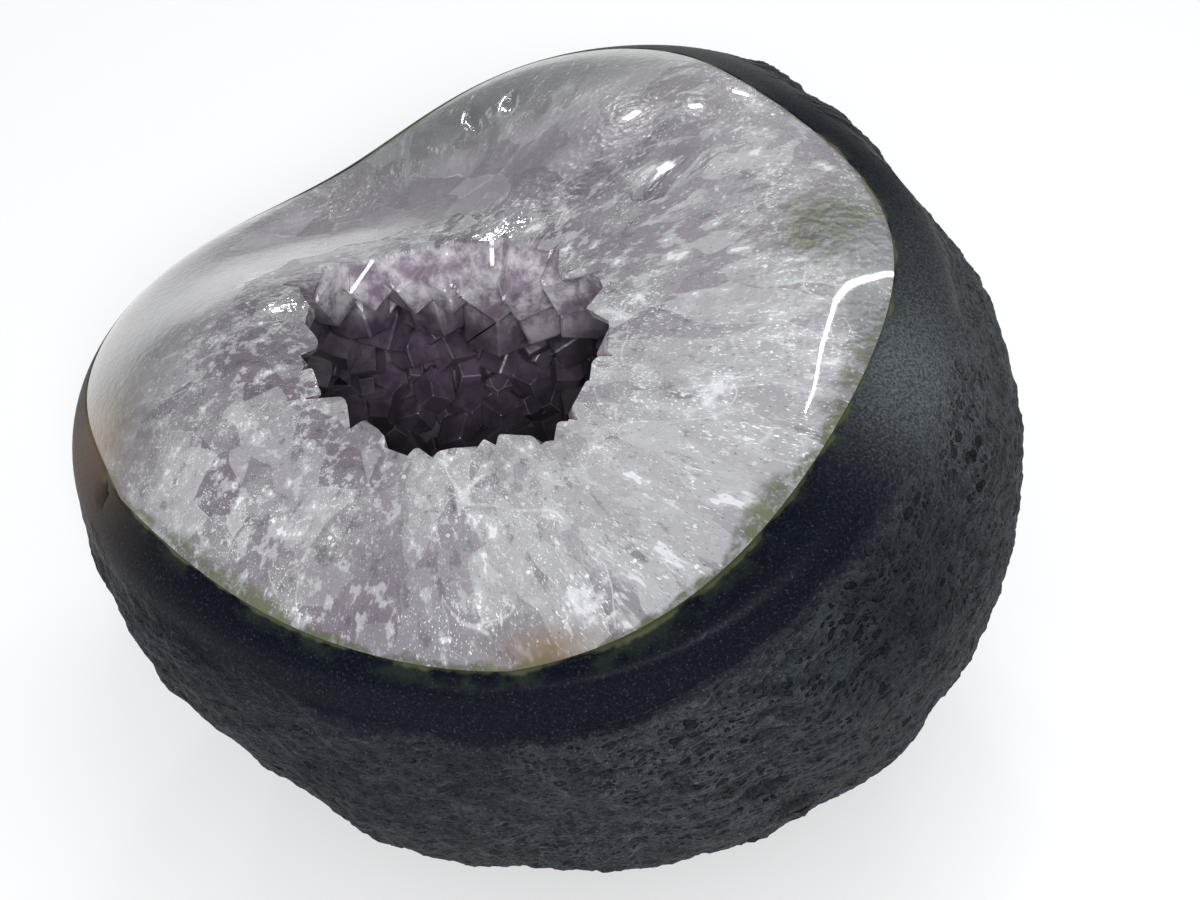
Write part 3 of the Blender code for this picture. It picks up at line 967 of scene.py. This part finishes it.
def slanted_place(recipe):
    """Metres along and across the rind's rows of pores, which rise a little to the right."""
    from_middle = recipe.vector("SUBTRACT", recipe.place(), tuple(MIDDLE))
    offset = recipe.node("ShaderNodeSeparateXYZ", Vector=from_middle)
    front = recipe.times(offset.outputs["Y"], -1.0)
    around = recipe.times(recipe.math("ARCTAN2", offset.outputs["X"], front), PORE_ROW_RADIUS)
    waver = recipe.times(recipe.noise(recipe.place(), 60, 1), 5 * MM)
    height = recipe.plus(offset.outputs["Z"], waver)
    cosine, sine = math.cos(PORE_SLANT), math.sin(PORE_SLANT)
    along = recipe.plus(recipe.times(around, cosine), recipe.times(height, sine))
    across = recipe.minus(recipe.times(height, cosine), recipe.times(around, sine))
    return along, across


def pores(recipe, along, across, stretch, scale, share):
    """1 in the middle of small drawn-out holes, of which a share is left out."""
    flat = recipe.node("ShaderNodeCombineXYZ", X=recipe.times(along, 1 / stretch), Y=across)
    cells = recipe.cells(flat.outputs["Vector"], scale, dimensions="2D")
    size = recipe.step(recipe.chances(cells)[0], share, 1.0, 0.0, 0.42)
    depth = recipe.math("DIVIDE", recipe.minus(size, cells.outputs["Distance"]), 0.14)
    return recipe.step(depth, 0.0, 1.0)


def basalt_material():
    recipe = Recipe("basalt")
    blend, step, times = recipe.blend, recipe.step, recipe.times
    place = recipe.place()
    contact = recipe.attribute("contact_mm")
    pit = recipe.attribute("pit_mm")
    uneven = times(recipe.noise(place, 110, 3, 0.6), 5.0)
    rough = step(recipe.plus(recipe.attribute("natural_mm"), uneven), 2.0, 7.0)

    tint = recipe.noise(place, 24, 2)
    mottle = recipe.noise(place, 140, 3, 0.6)
    grain = recipe.noise(place, 900, 2, 0.65)
    speck = recipe.noise(place, 2600, 1, 0.6)
    colour = blend(step(tint, 0.4, 0.62), BLUE_GREY, VIOLET_GREY)
    colour = blend(step(mottle, 0.35, 0.65, 0.5, 0.0), colour, DARK_MOTTLE)
    colour = blend(step(grain, 0.4, 0.68, 0.0, 0.7), colour, PALE_GRAIN)
    colour = blend(step(speck, 0.6, 0.72, 0.0, 0.4), colour, PALE_SPECK)
    ground = blend(step(speck, 0.4, 0.66), GROUND_BLACK, GROUND_BLUE)
    ground = blend(step(speck, 0.64, 0.75, 0.0, 0.4), ground, GROUND_SPECK)
    colour = blend(rough, ground, colour)
    # Painted sheen: the rind's right side is made lighter where light glances off it
    painted_sheen = times(recipe.attribute("painted_sheen"), step(speck, 0.3, 0.7, 0.25, 0.65))
    colour = blend(painted_sheen, colour, PAINTED_SHEEN_GREY)
    greenish = times(step(contact, -3, -0.3), step(mottle, 0.45, 0.6))
    colour = blend(times(greenish, 0.5), colour, GREENISH_BLACK)
    colour = blend(times(recipe.attribute("tan"), 0.85), colour, BROWN_STAIN)
    edge_wander = times(mottle, 2.4)
    edge = step(recipe.plus(contact, edge_wander), 0.75, 1.2)
    colour = blend(times(edge, 0.8), colour, OLIVE_EDGE)

    along, across = slanted_place(recipe)
    flat = recipe.node("ShaderNodeCombineXYZ", X=times(along, 0.36), Y=across)
    fine = {"Vector": flat.outputs["Vector"], "Scale": 480.0, "Detail": 3.0, "Roughness": 0.6}
    wrinkles = recipe.node("ShaderNodeTexNoise", {"noise_dimensions": "2D"}, **fine).outputs["Fac"]
    # Painted shade darkens the wrinkles' grooves and a painted highlight lightens their ridges, following
    # the same wrinkles as the bump
    valley_shade = times(step(wrinkles, 0.3, 0.48, 0.6, 0.0), rough)
    colour = blend(valley_shade, colour, VALLEY_SHADE)
    ridge_highlight = times(step(wrinkles, 0.55, 0.72, 0.0, 0.4), rough)
    colour = blend(ridge_highlight, colour, RIDGE_HIGHLIGHT)
    shady = times(recipe.attribute("shady"), rough)
    colour = blend(times(shady, 0.75), colour, SHADY_BLACK)
    small = pores(recipe, along, across, 1.8, 1500, 0.3)
    broad = pores(recipe, along, across, 2.0, 700, 0.6)
    wanted = times(step(mottle, 0.36, 0.54, 0.2, 1.0), step(pit, 0.0, 0.4, 1.0, 0.0))
    holes = times(recipe.math("MAXIMUM", small, broad), wanted)
    holes = times(holes, rough)
    # Painted shade: the pores and the model's pits are darkened inside
    pore_shade = recipe.plus(times(holes, 0.85), step(pit, 0.1, 1.4, 0.0, 0.6), limit=True)
    colour = blend(pore_shade, colour, PORE_SHADE)

    lumps = times(recipe.plus(grain, times(wrinkles, 3.0)), rough)
    height = recipe.minus(lumps, times(holes, 1.2))
    normal = recipe.bump(height, 1.0, 1.1 * MM)
    gloss = step(speck, 0.35, 0.7, 0.6, 0.42)
    shine = blend(rough, (0.36, 0.36, 0.36), (0.62, 0.62, 0.62))
    roughness = times(recipe.plus(gloss, shine), 0.5)
    recipe.set(Base_Color=colour, Roughness=roughness, Normal=normal, IOR=BASALT_IOR)
    return recipe.material


def quartz_pattern(recipe):
    """Milky quartz: columns, clouds, white streaks, cracks and flecks that run out from the hollow, and
    painted glints.

    Gives the colour, and how white each place's streaks are.
    """
    blend, step, times = recipe.blend, recipe.step, recipe.times
    place = recipe.place()
    seen = radial_coordinates(recipe)
    bend = recipe.node("ShaderNodeTexNoise", Vector=place, Scale=60.0, Detail=2.0).outputs["Color"]
    bent = recipe.vector("ADD", recipe.scaled(seen[0], 8.0), recipe.scaled(bend, 1.3))
    column = recipe.cells(bent, 1.0)
    column_edges = recipe.cells(bent, 1.0, "DISTANCE_TO_EDGE")
    tone = recipe.chances(column)
    patches = recipe.noise(place, 30, 2)
    clouds = recipe.noise(place, 80, 5, 0.7)
    colour = blend(step(clouds, 0.38, 0.64), LILAC, PALE_GREY)
    colour = blend(step(tone[0], 0.35, 0.9, 0.0, 0.65), colour, DEEP_LILAC)
    colour = blend(step(patches, 0.36, 0.5, 0.5, 0.0), colour, DEEP_LILAC)
    colour = blend(step(tone[1], 0.4, 1.0, 0.0, 0.6), colour, MILK)
    colour = blend(times(recipe.attribute("milky"), 0.6), colour, MILK)

    veils = radial_noise(recipe, seen, 20.0, 60.0, 3)
    streaks = radial_noise(recipe, seen, 60.0, 150.0, 2)
    flecks = radial_noise(recipe, seen, 240.0, 620.0, 1)
    patchy = step(clouds, 0.4, 0.6, 0.2, 1.0)
    colour = blend(step(veils, 0.53, 0.6, 0.0, 0.65), colour, MILK)
    colour = blend(step(veils, 0.32, 0.44, 0.55, 0.0), colour, SHADE)
    bright = recipe.math("MAXIMUM", step(clouds, 0.6, 0.68), step(veils, 0.64, 0.68))
    colour = blend(times(bright, 0.8), colour, WHITE)
    curved = recipe.noise(recipe.vector("ADD", place, recipe.scaled(bend, 8 * MM)), 42, 1)
    seams = step(column_edges.outputs["Distance"], 0.0, 0.018, 0.7, 0.0)
    cracks = recipe.math("MAXIMUM", hairlines(recipe, curved, 0.006), seams)
    cracks = times(cracks, step(clouds, 0.47, 0.58))
    white = times(step(streaks, 0.6, 0.68), patchy)
    glint_spots = times(step(flecks, 0.62, 0.7), patchy)
    specks = step(flecks, 0.28, 0.35, 0.6, 0.0)
    colour = blend(times(white, 0.75), colour, WHITE)
    colour = blend(specks, colour, SHADE)
    colour = blend(times(cracks, 0.5), colour, WHITE)
    # Painted glints: tiny white dots and the brightest flecks stand in for sparkles of light inside the
    # quartz
    glint_cells = recipe.cells(place, 620)
    size = step(recipe.chances(glint_cells)[0], 0.78, 1.0, 0.0, 0.24)
    glint_dots = step(recipe.minus(size, glint_cells.outputs["Distance"]), 0.0, 0.05, 0.0, 0.85)
    colour = blend(times(glint_dots, patchy), colour, GLINT)
    colour = blend(times(glint_spots, 0.95), colour, GLINT)
    return colour, white


def sunken_points(recipe):
    """The crystals that show dimly through the clear quartz around the mouth: their tone and pale edges."""
    waver = recipe.node("ShaderNodeTexNoise", Vector=recipe.place(), Scale=130.0, Detail=2.0)
    place = recipe.vector("ADD", recipe.place(), recipe.scaled(waver.outputs["Color"], 5 * MM))
    facets = recipe.cells(place, 105)
    borders = recipe.cells(place, 105, "DISTANCE_TO_EDGE")
    tone = recipe.chances(facets)
    shade = recipe.times(tone[0], recipe.step(facets.outputs["Distance"], 0.1, 0.7, 1.0, 0.5))
    body = recipe.blend(shade, DIM_CRYSTAL, PALE_CRYSTAL)
    edges = recipe.step(borders.outputs["Distance"], 0.0, 0.035, 0.6, 0.0)
    edges = recipe.times(edges, recipe.step(recipe.noise(recipe.place(), 160, 2), 0.48, 0.62))
    return recipe.blend(recipe.times(edges, tone[1]), body, WHITE)


def quartz_material():
    recipe = Recipe("quartz")
    blend, step, times = recipe.blend, recipe.step, recipe.times
    place = recipe.place()
    contact = recipe.attribute("contact_mm")
    glassy = recipe.attribute("glassy")
    colour, white = quartz_pattern(recipe)
    colour = blend(recipe.attribute("sunken"), colour, sunken_points(recipe))
    glass = times(glassy, step(white, 0.0, 0.8, 0.8, 0.3))
    colour = blend(glass, colour, CLEAR_GREEN)
    wander = times(recipe.noise(place, 150, 3, 0.65), 3.0)
    border = recipe.minus(contact, recipe.minus(wander, 1.5))
    reach = recipe.plus(times(recipe.attribute("green"), 3.6), 0.5)
    olive = step(recipe.math("DIVIDE", border, reach), 0.4, 1.4, 1.0, 0.0)
    moss_grain = recipe.noise(place, 420, 3, 0.7)
    olive = times(olive, step(moss_grain, 0.36, 0.6, 0.3, 1.0))
    moss = blend(step(moss_grain, 0.35, 0.65), DARK_MOSS, PALE_MOSS)
    hook = times(recipe.attribute("hook"), step(moss_grain, 0.3, 0.55, 0.45, 1.0))
    olive = recipe.math("MAXIMUM", olive, hook)
    colour = blend(times(olive, 0.9), colour, moss)
    colour = blend(recipe.attribute("teal"), colour, TEAL)
    colour = blend(recipe.attribute("tan"), colour, ORANGE_STAIN)
    # The hollow's wall turns violet and darker deeper down: its own violet, with painted shade
    colour = blend(step(recipe.attribute("depth_mm"), 3, 24), colour, WALL_SHADE_VIOLET)
    recipe.set(
        Base_Color=colour,
        Roughness=0.25,
        IOR=QUARTZ_IOR,
        Coat_Weight=1.0,
        Coat_Roughness=0.03,
        Coat_IOR=QUARTZ_IOR,
        Normal=recipe.bump(recipe.noise(place, 700, 1), 0.6, 0.25 * MM),
    )
    recipe.set(Transmission_Weight=times(glass, 0.4))
    return recipe.material


def amethyst_material():
    recipe = Recipe("amethyst")
    blend, step, times = recipe.blend, recipe.step, recipe.times
    place = recipe.place()
    depth = recipe.attribute("depth_mm")
    polished = step(depth, 0.15, 1.2, 1.0, 0.0)
    colour, _ = quartz_pattern(recipe)
    clouds = recipe.noise(place, 230, 4, 0.7)
    body = blend(step(clouds, 0.34, 0.66), AMETHYST, PALE_AMETHYST)
    # Painted highlight: the narrow faces along the crystals' edges are made pale, standing in for light
    # caught in the edges
    edge = times(recipe.attribute("edge"), step(clouds, 0.35, 0.6, 0.45, 0.95))
    body = blend(edge, body, EDGE_HIGHLIGHT)
    # Painted shade: the points grow darker deeper in the hollow, and their white wisps fade there too
    body = blend(step(depth, 7, 24, 0.0, 0.93), body, HOLLOW_SHADE_AMETHYST)
    wisps = step(recipe.noise(place, 700, 3, 0.65), 0.6, 0.74)
    wisps = times(wisps, step(depth, 5, 16, 1.0, 0.06))
    body = blend(times(wisps, 0.7), body, WISP)
    colour = blend(polished, body, colour)
    clear = step(clouds, 0.36, 0.66, 0.6, 0.35)
    clear = times(clear, recipe.minus(1.0, edge))
    clear = times(clear, step(polished, 0.0, 1.0, 1.0, 0.25))
    matt_lining = times(recipe.attribute("bare"), 0.85)
    recipe.set(
        Base_Color=colour,
        Roughness=recipe.math("MAXIMUM", step(depth, 4, 18, 0.09, 0.34), matt_lining),
        IOR=QUARTZ_IOR,
        Transmission_Weight=clear,
        Normal=recipe.bump(recipe.noise(place, 560, 2), 0.4, 0.3 * MM),
    )
    dye = recipe.node("ShaderNodeVolumeAbsorption", Color=DYE, Density=DYE_DENSITY)
    recipe.tree.links.new(dye.outputs["Volume"], recipe.output.inputs["Volume"])
    return recipe.material


def finish_piece(item, node, material, sharp_angle=None):
    item.data.materials.clear()
    item.data.materials.append(material)
    item.data.shade_smooth()
    if sharp_angle is not None:
        item.data.set_sharp_from_angle(angle=math.radians(sharp_angle))
    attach(item, "root")
    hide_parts(node)


def add_floor():
    bpy.ops.mesh.primitive_plane_add(size=8)
    floor = bpy.context.object
    floor.name = "floor"
    recipe = Recipe("floor")
    recipe.set(Base_Color=FLOOR_WHITE, Roughness=0.9)
    floor.data.materials.append(recipe.material)


def add_softbox(name, direction, distance, size, power):
    """A rectangular light that looks at the stone from a direction; its length is first in its size."""
    data = bpy.data.lights.new(name, "AREA")
    data.shape = "RECTANGLE"
    data.size, data.size_y = size
    data.energy = power
    lamp = bpy.data.objects.new(name, data)
    lamp.location = MIDDLE + Vector(direction).normalized() * distance
    lamp.rotation_euler = Vector(direction).to_track_quat("Z", "Y").to_euler()
    bpy.context.scene.collection.objects.link(lamp)
    return lamp


def add_strip_lights():
    """A long thin light above the back right, whose image curves along the face's rounded edge."""
    for first_row, last_row in zip(STRIP_PATH, STRIP_PATH[1:]):
        first, last = Vector(first_row[:3]), Vector(last_row[:3])
        middle = (first + last) / 2
        size = ((last - first).length, first_row[3] * MM)
        strip = add_softbox("strip", middle, middle.length, size, STRIP_GLOW * math.pi * size[0] * size[1])
        along = (last - first).normalized()
        away = (middle - along * middle.dot(along)).normalized()
        strip.rotation_euler = Matrix((along, away.cross(along), away)).transposed().to_euler()


def add_lights():
    add_strip_lights()
    add_softbox("front top", (0.1, -1.0, 0.85), 1.3, (0.6, 0.4), 15)
    for number, (direction, power) in enumerate(GLINT_LIGHTS):
        add_softbox(f"glint {number}", direction, 0.9, (0.05, 0.03), power)
    world = bpy.data.worlds.new("studio")
    world.use_nodes = True
    world.node_tree.nodes["Background"].inputs["Color"].default_value = (*SKY_COLOUR, 1)
    world.node_tree.nodes["Background"].inputs["Strength"].default_value = SKY_STRENGTH
    bpy.context.scene.world = world


def add_camera():
    data = bpy.data.cameras.new("camera")
    data.lens = CAMERA_LENS
    data.sensor_width = 36
    camera = bpy.data.objects.new("camera", data)
    back = Vector((0, -math.cos(CAMERA_ELEVATION), math.sin(CAMERA_ELEVATION)))
    camera.location = CAMERA_TARGET + back * CAMERA_DISTANCE
    camera.rotation_euler = back.to_track_quat("Z", "Y").to_euler()
    bpy.context.scene.collection.objects.link(camera)
    bpy.context.scene.camera = camera


def fit_to_box(items, box):
    """Draws the skins in by the fraction of a millimetre that they stand out from the model's facets."""
    places = [vertex_places(item) for item in items]
    low = np.min([rows.min(0) for rows in places], 0)
    high = np.max([rows.max(0) for rows in places], 0)
    to_low, to_high = np.array(box[0]), np.array(box[1])
    for item, rows in zip(items, places):
        fitted = to_low + (rows - low) / (high - low) * (to_high - to_low)
        item.data.vertices.foreach_set("co", np.ascontiguousarray(fitted, np.float32).ravel())
        item.data.update()


def plain_bounds():
    return [list(corner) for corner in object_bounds()]


cad_box = plain_bounds()

rind = add_rind_surface()
band = add_quartz_band()
crust = add_crystal_crust()
mark_rind(rind)
mark_quartz(band)
mark_quartz(crust)
mark_crystal_edges(crust)
fit_to_box([rind, band, crust], cad_box)
finish_piece(rind, "basalt_rind", basalt_material())
finish_piece(band, "quartz_band", quartz_material(), 28)
finish_piece(crust, "crystal_crust", amethyst_material(), 12)

add_floor()
add_lights()
add_camera()
bpy.context.scene.view_settings.view_transform = "Standard"
